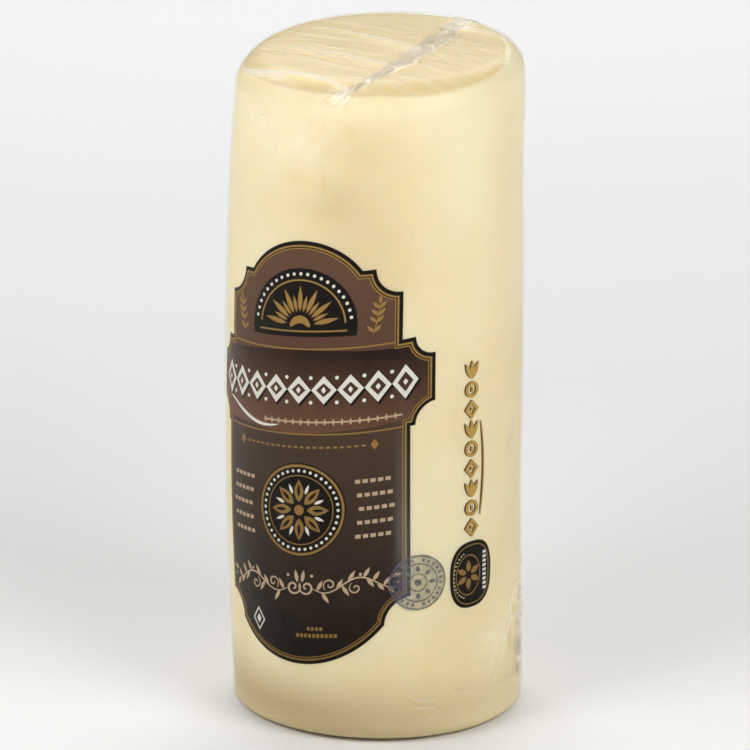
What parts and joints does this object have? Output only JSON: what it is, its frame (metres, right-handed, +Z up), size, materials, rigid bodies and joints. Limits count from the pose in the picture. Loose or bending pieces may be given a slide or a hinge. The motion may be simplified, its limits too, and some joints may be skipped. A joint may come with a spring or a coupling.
{
  "type": "wrapped provolone cheese log",
  "caption": "Tall round log of pale provolone cheese standing on one end, shrink-wrapped in clear film with a crumpled end seal and a dark brown printed label.",
  "frame": {"origin": "centre of the flat base that the log stands on", "axes": "+Z up along the log, -Y the way the middle of the label faces, +X to the right of someone who faces the label"},
  "size_m": [0.1436, 0.1442, 0.3335],
  "materials": {
    "cheese": "smooth pale cheese seen through tight clear film, darker tan on the cut top",
    "film": "thin clear shrink film, glossy, whitish where it is folded or crumpled",
    "label_brown": "dark brown ink under glossy film",
    "label_gold": "flat gold-coloured ink under glossy film",
    "label_cream": "cream ink under glossy film",
    "label_black": "near-black ink under glossy film"
  },
  "bodies": {
    "root": {"film_bag": "cheese", "label_panel": "label_brown", "label_medallion": "label_gold", "label_lozenges": "label_cream", "side_strip": "label_gold", "side_badge": "label_black"}
  },
  "joints": []
}
